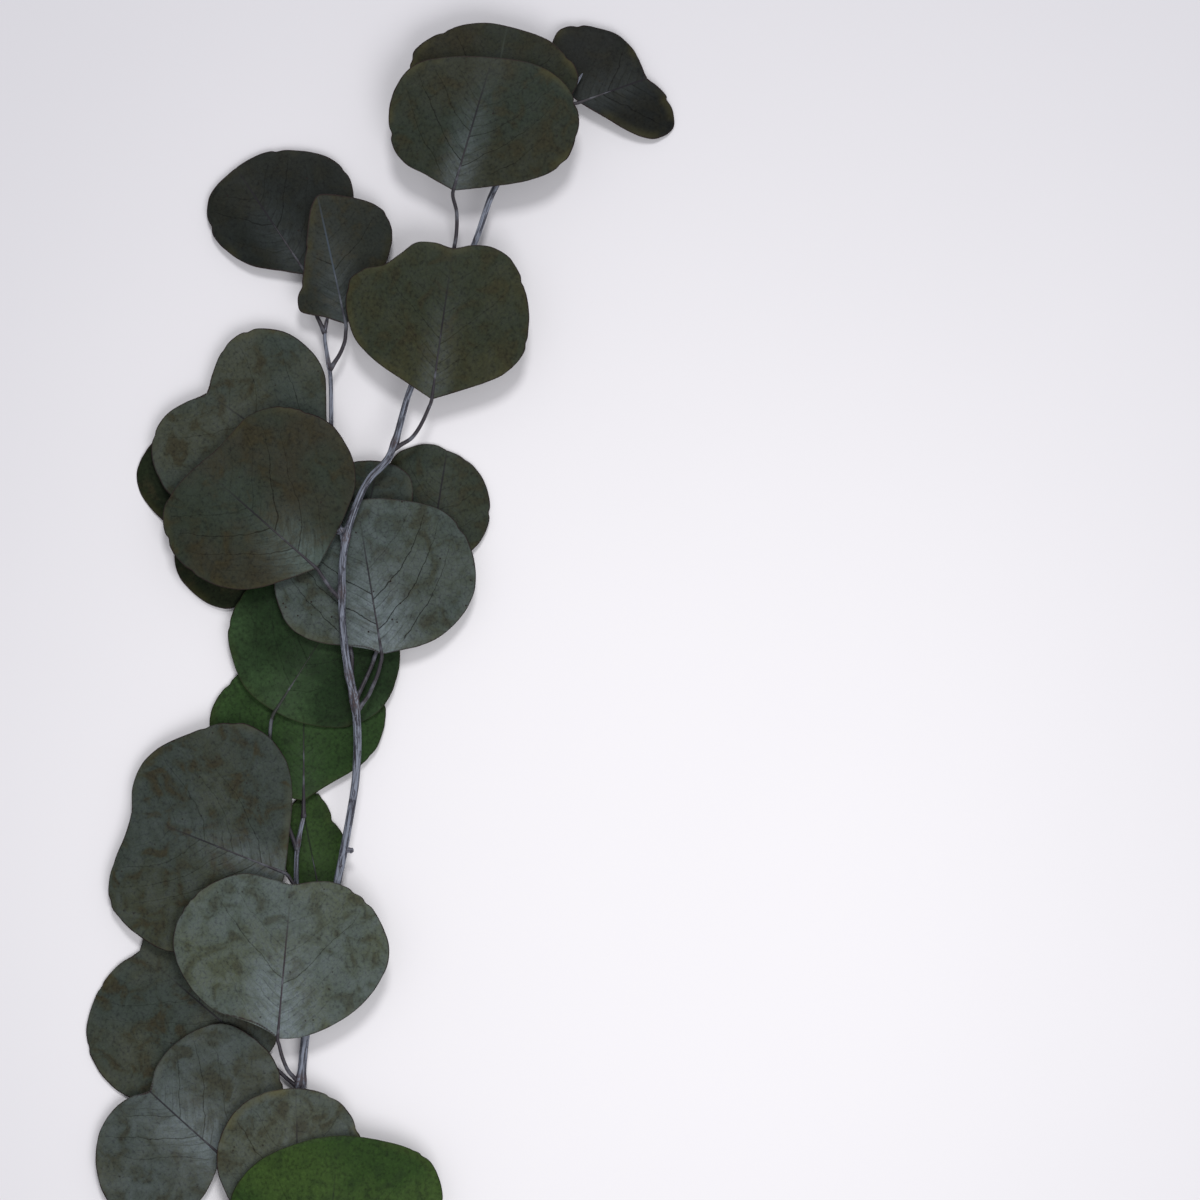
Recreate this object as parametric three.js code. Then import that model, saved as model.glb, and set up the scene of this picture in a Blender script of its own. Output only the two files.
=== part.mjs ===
// A cut branch of silver-dollar eucalyptus, lying on a flat surface.
// Millimetres, +Z up. The stem runs along Y with its cut end at -Y.
// Every leaf, with its stalk, is one closed solid. So are the main stem, each side twig and each bud.

import * as THREE from 'three';

// Driving dimensions
const BLADE_THICKNESS = 0.7;
const STALK_RADIUS = 0.75;
const STALK_END_RADIUS = 0.9;
const STEM_GAP = 0.3;
const STEM_SIDES = 10;
const STALK_STEPS = 5;
const RUNG_COUNT = 14;
const RUNG_FAN = 1.25;
const STEM_STEP = 6;
const STEM_SAMPLES = 300;
const STALK_TRIM_STEP = 0.01;
const LEAF_SIDES = 8;
const BUD_LENGTH = 3.2;
const BUD_RADIUS = 0.9;
const BUD_SIDES = 8;
const LENGTH_SAMPLES = 20;
const STEM_ROUGHNESS = 0.8;
const LEAF_ROUGHNESS = 0.65;

const LEAF_GREEN = 0x3b4a3e;
const BRIGHT_GREEN = 0x34502f;
const STEM_GREY = 0x77788a;

// Stems: [x, y, height of the centre line, radius], from the cut or joined end to the growing end.
const MAIN_STEM = [
  [-11, -194, 1.6, 1.6],
  [-14, -170, 1.6, 1.55],
  [-13, -145, 1.7, 1.5],
  [-11, -125, 2.3, 1.45],
  [-8, -100, 4.2, 1.4],
  [-1, -70, 6.0, 1.35],
  [3, -50, 7.4, 1.3],
  [5, -36, 8.2, 1.3],
  [5, -21, 8.8, 1.35],
  [2, -4, 9.2, 1.25],
  [1, 10, 9.4, 1.2],
  [2, 28, 9.2, 1.25],
  [8, 44, 8.6, 1.15],
  [14, 51, 8.2, 1.2],
  [20, 70, 7.4, 1.05],
  [29, 90, 6.8, 1.0],
  [38, 111, 6.6, 1.0],
  [44, 127, 6.8, 1.05],
  [55, 142, 7.0, 0.85],
  [64, 152, 6.8, 0.7],
  [68, 158, 6.8, 0.45],
];
const UPPER_TWIG = [
  [0.2, 28.8, 9.0, 0.7],
  [-1, 40, 8.4, 0.75],
  [-2, 55, 7.6, 0.75],
  [-2.4, 74, 6.6, 0.7],
  [-4, 85, 5.4, 0.6],
  [-3, 91, 4.6, 0.5],
];
const LOWER_TWIG = [
  [-7.6, -87, 5.0, 0.7],
  [-11, -76, 4.6, 0.8],
  [-12, -63, 4.0, 0.8],
  [-11.4, -56, 3.7, 0.75],
  [-9.8, -49, 3.4, 0.7],
];

// Buds: a point on the stem's centre line or just above its bark, the direction in which the bud points,
// in degrees, and how far along that direction it starts.
const BUDS = [
  { name: 'bud_upper', at: [1, 30.5, 11.4], turn: 110, reach: 0 },
  { name: 'bud_lower', at: [1.6, -58, 6.9], turn: -20, reach: 1.8 },
];

// Leaves, in the order they are laid down.
// stalk: route that starts inside the stem, is cut back to the bark, and ends at the blade.
// margin: outline from the blade's base round by its left side; tipPoint is the number of its point at the tip.
// base and tip: heights of the two ends of the midrib. arch: rise of the midrib between them.
// cup: drop of the side margins. roll: rise of the right side.
const LEAVES = [
  {
    name: 'leaf_green_middle', colour: BRIGHT_GREEN, tipPoint: 7,
    stalk: [[-9.8, -50, 3.4], [-10, -47, 3]],
    margin: [[-10, -45], [-18, -43], [-28, -38], [-35, -29], [-36, -20], [-30, -11], [-21, -5],
      [-10, -3], [3, -6], [11, -13], [13, -20], [10, -31], [3, -37], [-4, -41]],
    base: 2.6, tip: 0.8, arch: 0.4, cup: 0.6, roll: 0.2,
  },
  {
    name: 'leaf_left_rear', colour: LEAF_GREEN, tipPoint: 7,
    stalk: [[-1.1, 40, 8.4], [-2.8, 41.4, 6], [-5.5, 41.8, 4.2]],
    margin: [[-10, 42], [-12, 27], [-17, 15], [-25, 10], [-34, 9], [-41, 13], [-46, 20], [-46, 27],
      [-48, 32], [-54, 38], [-57, 45], [-55, 52], [-48, 58], [-35, 59], [-22, 52]],
    base: 3.0, tip: 1.0, arch: 0.4, cup: 0.6, roll: 0,
  },
  {
    name: 'leaf_right_upper', colour: LEAF_GREEN, tipPoint: 6,
    stalk: [[5, -20, 8.8], [7.3, -12.6, 7], [9.3, -6.5, 4.9], [13, 3, 4.5]],
    margin: [[25, 21], [18, 26], [13, 35], [13, 45], [16, 52], [25, 55], [30, 53], [36, 50],
      [41, 43], [42, 35], [39, 27], [32, 22]],
    base: 2.4, tip: 0.9, arch: 0.2, cup: 0.4, roll: 0,
  },
  {
    name: 'leaf_bottom_left_rear', colour: LEAF_GREEN, tipPoint: 8,
    stalk: [[-11.2, -126, 2.3], [-16, -121.5, 1.9]],
    margin: [[-21, -117], [-31, -125], [-45, -129], [-59, -128], [-68, -120], [-71, -111], [-68, -99],
      [-62, -91], [-56, -87], [-55, -83], [-43, -79], [-29, -84], [-20, -95], [-17, -106], [-18, -113]],
    base: 1.6, tip: 1.0, arch: 0.6, cup: 0.7, roll: 0,
  },
  {
    name: 'leaf_green_small', colour: BRIGHT_GREEN, tipPoint: 4,
    stalk: [[-4.4, -85, 5.1], [-5.5, -80, 2.2]],
    margin: [[-5, -74], [-12, -70], [-16, -61], [-16, -51], [-11, -44], [-6, -43], [-2, -50], [2, -57],
      [1, -64], [-1, -70]],
    base: 1.2, tip: 0.9, arch: 0.2, cup: 0.2, roll: 0,
  },
  {
    name: 'leaf_green_upper', colour: BRIGHT_GREEN, tipPoint: 7,
    stalk: [[-12, -62, 4], [-15.5, -48, 4.2], [-19.5, -30, 4.2]],
    margin: [[-18, -20], [-25, -15], [-29, -8], [-31, 3], [-27, 13], [-18, 19], [-7, 18], [3, 13],
      [12, 8], [17, -3], [16, -11], [11, -20], [3, -24], [-7, -24], [-14, -22]],
    base: 3.6, tip: 3.0, arch: 0.4, cup: 0.5, roll: -0.3,
  },
  {
    name: 'leaf_inner_rear', colour: LEAF_GREEN, tipPoint: 5,
    stalk: [[5, -14, 8.9], [4, -7, 6.2], [3, -1, 4.9], [3, 6, 4.8]],
    margin: [[3, 13], [-4, 20], [-6, 31], [-3, 44], [2, 49], [11, 50], [17, 48], [20, 45], [20, 37],
      [15, 25], [8, 17]],
    base: 4.7, tip: 3.2, arch: 0.2, cup: 0.3, roll: 0,
  },
  {
    name: 'leaf_right_wide', colour: LEAF_GREEN, tipPoint: 7,
    stalk: [[5, -22, 8.8], [9, -14, 7.8], [11.2, -8.4, 7]],
    margin: [[12, -4], [8, -2], [-4, -1], [-13, 3], [-18, 14], [-17, 24], [-10, 33], [5, 39], [18, 39],
      [29, 36], [36, 28], [38, 15], [32, 4], [22, -2], [16, -3]],
    base: 6.7, tip: 6.2, arch: 0.4, cup: 1.0, roll: -0.5,
  },
  {
    name: 'leaf_left_notched', colour: LEAF_GREEN, tipPoint: 8,
    stalk: [[-1.6, 49, 7.9], [-3, 47.6, 6.8]],
    margin: [[-4, 46], [-11, 39], [-25, 35], [-39, 36], [-47, 40], [-52, 49], [-52, 57], [-46, 65],
      [-37, 69], [-35, 76], [-31, 83], [-24, 87], [-15, 86], [-8, 81], [-4, 74], [-3.6, 64], [-3, 55]],
    base: 5.6, tip: 4.0, arch: 0.4, cup: 0.8, roll: 0,
  },
  {
    name: 'leaf_lower_left_large', colour: LEAF_GREEN, tipPoint: 9,
    stalk: [[-4, -80, 5.3], [-9.5, -72, 6.6]],
    margin: [[-15, -65], [-19, -75], [-28, -83], [-38, -87], [-48, -87], [-57, -82], [-64, -74],
      [-64, -65], [-60, -55], [-58, -48], [-58, -42], [-54, -33], [-44, -27], [-31, -23], [-22, -25],
      [-15, -33], [-13, -43], [-14, -56]],
    base: 6.6, tip: 3.6, arch: 1.4, cup: 1.0, roll: 0.6,
  },
  {
    name: 'leaf_bottom_left_front', colour: LEAF_GREEN, tipPoint: 8,
    stalk: [[-13, -146, 1.7], [-20, -147, 3.2], [-27, -146, 3.8]],
    margin: [[-33, -144], [-37, -154], [-45, -162], [-55, -163], [-64, -158], [-68, -147], [-66, -135],
      [-59, -128], [-53, -126], [-51, -119], [-45, -112], [-33, -107], [-24, -111], [-18, -118],
      [-15.5, -127], [-18, -135], [-25, -142]],
    base: 3.8, tip: 3.7, arch: 1.0, cup: 1.0, roll: 0.3,
  },
  {
    name: 'leaf_left_front', colour: LEAF_GREEN, tipPoint: 7,
    stalk: [[1, 9, 9.4], [-2, 14, 9.8]],
    margin: [[-6, 20], [-14, 17], [-26, 14], [-38, 17], [-46, 24], [-49, 35], [-46, 42], [-39, 49],
      [-32, 55], [-26, 62], [-18, 65], [-10, 64], [-2, 60], [3, 53], [5, 45], [1.8, 34.5], [-2.5, 26]],
    base: 9.6, tip: 7.4, arch: 2.2, cup: 1.4, roll: 1.2,
  },
  {
    name: 'leaf_lower_front', colour: LEAF_GREEN, tipPoint: 8,
    stalk: [[-11, -125, 2.3], [-13.6, -121.4, 4.4], [-15.6, -117, 6]],
    margin: [[-17, -111], [-24, -106], [-33, -104], [-42, -96], [-46, -85], [-44, -76], [-36, -68],
      [-25, -65], [-13, -68], [-3, -67], [7, -72], [13, -81], [14, -89], [7, -101], [-3, -108], [-12, -111]],
    base: 7.8, tip: 9.6, arch: 1.6, cup: 1.6, roll: 0,
  },
  {
    name: 'leaf_bottom_centre', colour: LEAF_GREEN, tipPoint: 6,
    stalk: [[-13.9, -175, 1.6], [-13.4, -171.4, 4]],
    margin: [[-11, -168], [-22, -166], [-30, -157], [-34, -146], [-32, -136], [-25, -128], [-12, -125],
      [-1, -128], [5, -136], [7, -147], [3, -158], [-3, -166]],
    base: 5.2, tip: 6.4, arch: 1.2, cup: 1.0, roll: -1.0,
  },
  {
    name: 'leaf_bottom_green', colour: BRIGHT_GREEN, tipPoint: 7,
    stalk: [[-11.5, -188, 1.6], [-8.4, -187.4, 4.4]],
    margin: [[-4, -185], [-15, -183], [-25, -175], [-30, -164], [-29, -153], [-22, -145], [-11, -140],
      [0, -138], [14, -140], [25, -145], [29, -155], [26, -168], [17, -178], [6, -184]],
    base: 6.6, tip: 8.4, arch: 1.6, cup: 2.0, roll: -1.2,
  },
  {
    name: 'leaf_tip', colour: LEAF_GREEN, tipPoint: 8,
    stalk: [[60, 147.4, 6.9], [64.4, 149.4, 5.2]],
    margin: [[67, 150], [60, 157], [59, 164], [61, 170], [67, 172], [73, 171], [78, 169], [83, 164],
      [86, 157], [90, 154], [93, 149], [93, 143], [88, 140], [81, 142], [74, 146]],
    base: 5.0, tip: 2.4, arch: 0.6, cup: 2.2, roll: 0,
  },
  {
    name: 'leaf_upper_left', colour: LEAF_GREEN, tipPoint: 6,
    stalk: [[-4, 85, 5.4], [-6.4, 91, 4.8], [-7, 97, 4.2]],
    margin: [[-9, 102], [-16, 103], [-26, 105], [-34, 111], [-37, 119], [-36, 125], [-29, 132],
      [-22, 136], [-15, 137], [-6, 136], [1, 132], [4, 125], [3, 116], [-1, 108]],
    base: 3.8, tip: 1.4, arch: 0.8, cup: 1.0, roll: 0,
  },
  {
    name: 'leaf_upper_left_folded', colour: LEAF_GREEN, tipPoint: 6,
    stalk: [[-2.4, 74.6, 6.6], [1.6, 83, 6.9]],
    margin: [[2, 88], [-4, 90], [-11, 92], [-10, 102], [-9, 111], [-8, 120], [-6, 124], [1, 124],
      [9, 122], [13, 119], [15, 113], [13, 105], [9, 97]],
    base: 6.8, tip: 5.4, arch: 0.6, cup: 0.9, roll: -0.6,
  },
  {
    name: 'leaf_crown_back', colour: LEAF_GREEN, tipPoint: 8,
    stalk: [[44.6, 127.8, 6.8], [43.6, 131, 8.8]],
    margin: [[40, 137], [31, 139], [24, 148], [20, 157], [21, 164], [26, 168], [33, 171], [41, 172],
      [47, 171], [54, 169], [59, 167], [64, 162], [67, 158], [64, 150], [57, 142], [48, 138]],
    base: 9.2, tip: 8.4, arch: 1.0, cup: 1.0, roll: 0,
  },
  {
    name: 'leaf_shoulder', colour: LEAF_GREEN, tipPoint: 9,
    stalk: [[14, 51, 8.2], [21, 57, 8.8], [24, 62, 9.2]],
    margin: [[26, 67], [20, 71], [10, 78], [4, 85], [2, 94], [4, 102], [14, 105], [20, 110], [25, 111],
      [32, 109], [39, 110], [46, 108], [51, 101], [53, 92], [52, 81], [46, 74], [39, 71]],
    base: 9.6, tip: 10.6, arch: 1.0, cup: 1.4, roll: 0,
  },
  {
    name: 'leaf_crown_front', colour: LEAF_GREEN, tipPoint: 7,
    stalk: [[28, 88, 6.8], [30, 101, 8], [32.4, 110, 8.6], [33, 118, 10]],
    margin: [[32, 125], [25, 129], [17, 134], [14, 144], [16, 154], [21, 160], [29, 162], [43, 162],
      [55, 160], [63, 155], [67, 146], [66, 139], [62, 132], [54, 128], [42, 126]],
    base: 11.2, tip: 11.6, arch: 1.4, cup: 1.6, roll: 0,
  },
];

const UP = new THREE.Vector3(0, 0, 1);
const STEM_CURVES = [MAIN_STEM, UPPER_TWIG, LOWER_TWIG].map((points) => ({
  points,
  curve: new THREE.CatmullRomCurve3(points.map(([x, y, z]) => new THREE.Vector3(x, y, z))),
}));

// Closed solid through a row of rings with equal numbers of points, closed by one point at each end.
function skinRings(rings, startPoint, endPoint) {
  const count = rings[0].length;
  const points = [startPoint, ...rings.flat(), endPoint];
  const faces = [];
  const at = (ring, side) => 1 + ring * count + (side % count);
  for (let side = 0; side < count; side += 1) {
    faces.push([0, at(0, side), at(0, side + 1)]);
    faces.push([points.length - 1, at(rings.length - 1, side + 1), at(rings.length - 1, side)]);
    for (let ring = 0; ring + 1 < rings.length; ring += 1) {
      faces.push([at(ring, side), at(ring + 1, side + 1), at(ring, side + 1)]);
      faces.push([at(ring, side), at(ring + 1, side), at(ring + 1, side + 1)]);
    }
  }
  const geometry = new THREE.BufferGeometry();
  const coordinates = points.flatMap((point) => point.toArray());
  geometry.setAttribute('position', new THREE.Float32BufferAttribute(coordinates, 3));
  geometry.setIndex(faces.flat());
  geometry.computeVertexNormals();
  return geometry;
}

// Round ring of points about a centre, square to a direction, starting on its right-hand side.
function roundRing(centre, direction, radius, sides) {
  const right = new THREE.Vector3().crossVectors(direction, UP).normalize();
  const above = new THREE.Vector3().crossVectors(right, direction).normalize();
  return Array.from({ length: sides }, (unused, side) => {
    const angle = (side / sides) * Math.PI * 2;
    return centre.clone()
      .addScaledVector(right, Math.cos(angle) * radius)
      .addScaledVector(above, Math.sin(angle) * radius);
  });
}

// Radius of a stem at a share of its run of points.
function stemRadius(points, along) {
  const place = along * (points.length - 1);
  const low = Math.min(points.length - 2, Math.floor(place));
  return THREE.MathUtils.lerp(points[low][3], points[low + 1][3], place - low);
}

// Stem or twig: a round tube through its points, with each point's own radius and a flat end at both ends.
function stemGeometry({ points, curve }) {
  const steps = Math.round(curve.getLength() / STEM_STEP);
  const rings = [];
  for (let step = 0; step <= steps; step += 1) {
    const along = step / steps;
    const radius = stemRadius(points, along);
    rings.push(roundRing(curve.getPoint(along), curve.getTangent(along), radius, STEM_SIDES));
  }
  return skinRings(rings, curve.getPoint(0), curve.getPoint(1));
}

// Free room between a point and the nearest bark.
function roomToStems(point) {
  let room = Infinity;
  for (const { points, curve } of STEM_CURVES) {
    for (let sample = 0; sample <= STEM_SAMPLES; sample += 1) {
      const along = sample / STEM_SAMPLES;
      room = Math.min(room, curve.getPoint(along).distanceTo(point) - stemRadius(points, along));
    }
  }
  return room;
}

// A stalk's route starts inside its stem. This is the share of it at which the stalk stands clear of the bark.
function clearStart(stalk) {
  let along = 0;
  while (roomToStems(stalk.getPointAt(along)) < STALK_END_RADIUS + STEM_GAP) {
    along += STALK_TRIM_STEP;
  }
  return along;
}

// Share of a curve's length that lies before one of its own points.
function lengthShare(curve, pointNumber) {
  const pieces = (curve.points.length - 1) * LENGTH_SAMPLES;
  const lengths = curve.getLengths(pieces);
  return lengths[pointNumber * LENGTH_SAMPLES] / lengths[pieces];
}

// Leaf: stalk rings that open into flat blade rings, one for each rung from margin to margin.
function leafGeometry(leaf) {
  const flat = ([x, y]) => new THREE.Vector3(x, y, 0);
  const base = flat(leaf.margin[0]);
  const tip = flat(leaf.margin[leaf.tipPoint]);
  const outline = new THREE.CatmullRomCurve3([...leaf.margin.map(flat), base.clone()], false, 'centripetal');
  const tipShare = lengthShare(outline, leaf.tipPoint);
  const axis = tip.clone().sub(base);
  const length = axis.length();
  axis.normalize();
  const side = new THREE.Vector3().crossVectors(axis, UP);
  const offsets = leaf.margin.map((point) => Math.abs(flat(point).sub(base).dot(side)));
  const halfWidth = Math.max(...offsets);

  // The arch is a parabola that is 0 at both ends of the midrib and 1 halfway.
  const height = (point) => {
    const along = point.clone().sub(base).dot(axis) / length;
    const across = point.clone().sub(base).dot(side) / halfWidth;
    return THREE.MathUtils.lerp(leaf.base, leaf.tip, along)
      + leaf.arch * 4 * along * (1 - along)
      - leaf.cup * across * across
      + leaf.roll * across;
  };
  const onBlade = (point, lift) => new THREE.Vector3(point.x, point.y, height(point) + lift);

  const route = [...leaf.stalk.map(([x, y, z]) => new THREE.Vector3(x, y, z)), onBlade(base, 0)];
  const stalk = new THREE.CatmullRomCurve3(route);
  const start = clearStart(stalk);
  const rings = [];
  for (let step = 0; step <= STALK_STEPS; step += 1) {
    const share = step / STALK_STEPS;
    const along = THREE.MathUtils.lerp(start, 1, share);
    const radius = THREE.MathUtils.lerp(STALK_END_RADIUS, STALK_RADIUS, share);
    rings.push(roundRing(stalk.getPointAt(along), stalk.getTangentAt(along), radius, LEAF_SIDES));
  }
  for (let rung = 1; rung < RUNG_COUNT; rung += 1) {
    const share = rung / RUNG_COUNT;
    const left = outline.getPointAt(tipShare * share);
    const right = outline.getPointAt(1 - (1 - tipShare) * share);
    const forward = ((1 - Math.cos(Math.PI * share)) / 2) ** RUNG_FAN;
    const middle = base.clone().lerp(tip, forward);
    const innerLeft = left.clone().lerp(middle, 0.5);
    const innerRight = right.clone().lerp(middle, 0.5);
    const half = BLADE_THICKNESS / 2;
    rings.push([
      onBlade(right, 0), onBlade(innerRight, half), onBlade(middle, half), onBlade(innerLeft, half),
      onBlade(left, 0), onBlade(innerLeft, -half), onBlade(middle, -half), onBlade(innerRight, -half),
    ]);
  }
  return skinRings(rings, stalk.getPointAt(start), onBlade(tip, 0));
}

// Bud: a small pointed drop. Its profile is given in shares of its radius and length, from the stem out.
function budGeometry() {
  const profile = [[0, 0], [0.7, 0.12], [1, 0.35], [0.75, 0.7], [0, 1]];
  const points = profile.map(([out, along]) => new THREE.Vector2(out * BUD_RADIUS, along * BUD_LENGTH));
  return new THREE.LatheGeometry(points, BUD_SIDES);
}

function addMesh(group, name, geometry, colour, roughness) {
  const material = new THREE.MeshStandardMaterial({ color: colour, roughness, metalness: 0 });
  const mesh = new THREE.Mesh(geometry, material);
  mesh.name = name;
  group.add(mesh);
  return mesh;
}

const branch = new THREE.Group();
['main_stem', 'upper_twig', 'lower_twig'].forEach((name, number) => {
  addMesh(branch, name, stemGeometry(STEM_CURVES[number]), STEM_GREY, STEM_ROUGHNESS);
});
for (const leaf of LEAVES) {
  addMesh(branch, leaf.name, leafGeometry(leaf), leaf.colour, LEAF_ROUGHNESS);
}
for (const bud of BUDS) {
  const mesh = addMesh(branch, bud.name, budGeometry(), STEM_GREY, STEM_ROUGHNESS);
  const turn = THREE.MathUtils.degToRad(bud.turn);
  const [x, y, z] = bud.at;
  mesh.position.set(x + Math.cos(turn) * bud.reach, y + Math.sin(turn) * bud.reach, z);
  mesh.rotation.z = turn - Math.PI / 2;
}

// The origin is under the middle of the branch, on the surface that it lies on.
branch.updateMatrixWorld(true);
const bounds = new THREE.Box3().setFromObject(branch, true);
const middle = bounds.getCenter(new THREE.Vector3());
branch.position.set(-middle.x, -middle.y, -bounds.min.z);

export default branch;
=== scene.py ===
"""A cut eucalyptus branch lying on a pale floor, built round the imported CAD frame.

Every leaf, stem and bud takes its place and its outline from its own CAD node. The node's rings are
read back from its mesh, then a finer piece with veins, waves and bark relief is made through them.
"""
import math

import bmesh
import bpy
import numpy as np
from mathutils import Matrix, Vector, noise


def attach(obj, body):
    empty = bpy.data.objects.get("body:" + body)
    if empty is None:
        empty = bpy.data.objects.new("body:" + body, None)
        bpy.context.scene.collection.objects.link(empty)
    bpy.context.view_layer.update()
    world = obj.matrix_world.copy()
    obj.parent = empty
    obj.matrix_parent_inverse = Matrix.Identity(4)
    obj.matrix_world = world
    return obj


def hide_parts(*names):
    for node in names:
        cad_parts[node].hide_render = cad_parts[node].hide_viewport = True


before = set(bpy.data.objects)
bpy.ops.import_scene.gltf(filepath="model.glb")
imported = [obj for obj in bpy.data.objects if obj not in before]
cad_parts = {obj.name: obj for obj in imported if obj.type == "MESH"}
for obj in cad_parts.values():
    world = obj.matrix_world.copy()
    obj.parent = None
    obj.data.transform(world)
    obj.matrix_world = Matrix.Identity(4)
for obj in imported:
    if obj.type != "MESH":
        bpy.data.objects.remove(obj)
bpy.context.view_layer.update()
MM = 0.001

# How the CAD meshes are read
WELD = 0.02 * MM
FLAT_COSINE = 0.9999
LEAF_SIDES = 8
STEM_SIDES = 10
BUD_POLE_EDGES = 8
STALK_RINGS = 6

# Lines and noise
FEWEST_STEPS = 4
TINY = 1e-12
SEED_STEP = (7.31, 3.77, 1.93)

# Leaf blades
ROWS_PER_RUNG = 8
INNER_COLUMNS = 61
INNER_REACH = 0.955
RIM_COLUMNS = (0.978, 0.992)
BLADE_THICKNESS = 0.42 * MM
RIM_THICKNESS = 0.14 * MM
RIPPLE = 0.34 * MM
RIPPLE_LENGTH = 13 * MM
SWELL = 0.22 * MM
SWELL_LENGTH = 24 * MM
MARGIN_WAVE = 0.32 * MM
MARGIN_WAVE_LENGTH = 9 * MM
MARGIN_TOOTH = 0.12 * MM
MARGIN_TOOTH_LENGTH = 2.6 * MM
NICK_DEPTH = 0.6 * MM
NICK_WIDTH = 1.1 * MM
NICKS = 3
NICK_SPAN = (0.12, 0.88)
NICK_SEED_STEP = 10
LEAST_NICK = 0.3
CALM_ENDS = 4 * MM
CALM_BASE = 5 * MM
PUCKER = 0.03 * MM
VEIN_SPACING = 8.5 * MM
VEIN_LEAN = 0.6
VEIN_CURVE = 26.0
VEIN_STAGGER = 0.18

# Stalks and midribs
TUBE_SIDES = 12
TUBE_STEP = 0.9 * MM
MIDRIB_START = 0.5 * MM
MIDRIB_END = 0.09 * MM
MIDRIB_REACH = 0.94
MIDRIB_FIRST_ROW = 4
MIDRIB_ROW_STEP = 3
MIDRIB_SINK = 0.3
SINK_RUN = 0.15
STALK_SHARE = 0.72
SOCKET_FLARE = 0.35
SOCKET_LENGTH = 2.2 * MM
ROOT_LEAD = 2.5 * MM

# Stems
BARK_SIDES = 28
BARK_STEP = 0.7 * MM
BARK_RELIEF = 0.06
BARK_ROUND = 2.4
STEM_SHARE = 0.84
BARK_LENGTH = 5 * MM
KNOT_SWELL = 0.24
KNOT_LENGTH = 1.9 * MM
TIP_DOME_RINGS = 5
TIP_DOME_START = 0.3

# Buds
BUD_SHARE = 0.3
BUD_SIDES = 20
BUD_RINGS = 22
NECK_RINGS = 4
BUD_SPAN = (0.12, 0.985)
BUD_LEAN = 0.62
BUD_FULLNESS = 0.8
SEAM_DEPTH = 0.16
SEAM_WIDTH = 0.22
BUD_BARK_RUN = 4 * MM
BUD_SCAR = 0.6

# Materials. A noise scale is the number of bumps in a metre, or in a stem's radius for its bark.
# A fade is a range that a value goes through and, where they aren't 0 and 1, the results at its two ends.
PLACE_STEP = (0.173, 0.091, 0.057)
BROAD_SCALE = 48.0
BROAD_FADE = (0.38, 0.62)
PATCH_SCALE = 170.0
STAIN_FADE = (0.5, 0.68)
FINE_SCALE = 1150.0
DARK_GRIT_FADE = (0.48, 0.68, 0.0, 0.5)
LIGHT_GRIT_FADE = (0.46, 0.3, 0.0, 0.5)
DARKER = (0.3, 0.28, 0.3)
LIGHTER = (1.5, 1.5, 1.5)
UNDERSIDE_TONE = (0.075, 0.095, 0.08)
UNDERSIDE_SHARE = 0.45

# Side veins
WANDER_SCALE = 50.0
WANDER = 1.1
KINK_SCALE = 380.0
KINK = 0.22
WANDER_GROWTH = (0.0, 6 * MM)
# Main ones, then the finer ones between: how many to a vein, and the half widths of core and edge
VEIN_KINDS = ((1.0, 0.01, 0.034), (3.0, 0.02, 0.09))
VEIN_SEED_STEP = 17.0
VEIN_STRENGTH = (0.0, 1.0, 0.25, 1.0)
FINE_VEIN_FADE = (2 * MM, 9 * MM, 0.45, 0.15)
VEIN_MARGIN_FADE = (0.8 * MM, 5 * MM)
VEIN_SIDE_FADE = (12 * MM, 26 * MM, 1.0, 0.3)
VEIN_BASE_FADE = (0.2, 0.45)
VEIN_TIP_FADE = (2.2, 4.5, 1.0, 0.25)
VEIN_HEIGHT = -0.5
NET_SCALE = 620.0
NET_LINE = (0.02, 0.12, 1.0, 0.0)
NET_SHARE = 0.25
NET_HEIGHT = -0.2
MIDRIB_LINE = (0.12 * MM, 0.34 * MM, 1.0, 0.0)
MIDRIB_FADE = (22 * MM, 40 * MM, 0.85, 0.1)

# Bloom, the pale wax
BRUSH_ACROSS = 2.6
BRUSH_ALONG = 110.0
BRUSH_SCALE = 2.2
BRUSH_FADE = (0.3, 0.7, 0.5, 1.2)
BLOOM_FULL_WIDTH = 0.3 * MM
BLOOM_FULL_REACH = 4 * MM
BLOOM_AT_TIP = 0.12
HAZE_FADE = (0.3, 0.66, 1.5, 0.3)
BLOOM_GRIT_FADE = (0.3, 0.7, 0.6, 1.3)
BLOOM_OFF_VEINS = 0.6
MOST_BLOOM = 0.95
BLOOM_SHINE_RANGE = (0.0, 0.6)
BLOOM_ROUGHNESS = 0.72

# Specks and rim
SPECK_SCALE = 330.0
SPECK_SPOT = (0.05, 0.13, 1.0, 0.0)
SPECK_PLACES_SCALE = 210.0
SPECK_PLACES_FADE = (0.5, 0.58)
SPECK_TONE = (0.016, 0.011, 0.01)
RIM_PLACES_SCALE = 75.0
RIM_PLACES_FADE = (0.45, 0.65)
WIDE_RIM_FADE = (0.4 * MM, 3.0 * MM, 1.0, 0.0)
THIN_RIM_FADE = (0.12 * MM, 0.48 * MM, 1.0, 0.0)
RIM_BREAKS_FADE = (0.3, 0.5, 0.4, 0.9)

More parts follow.
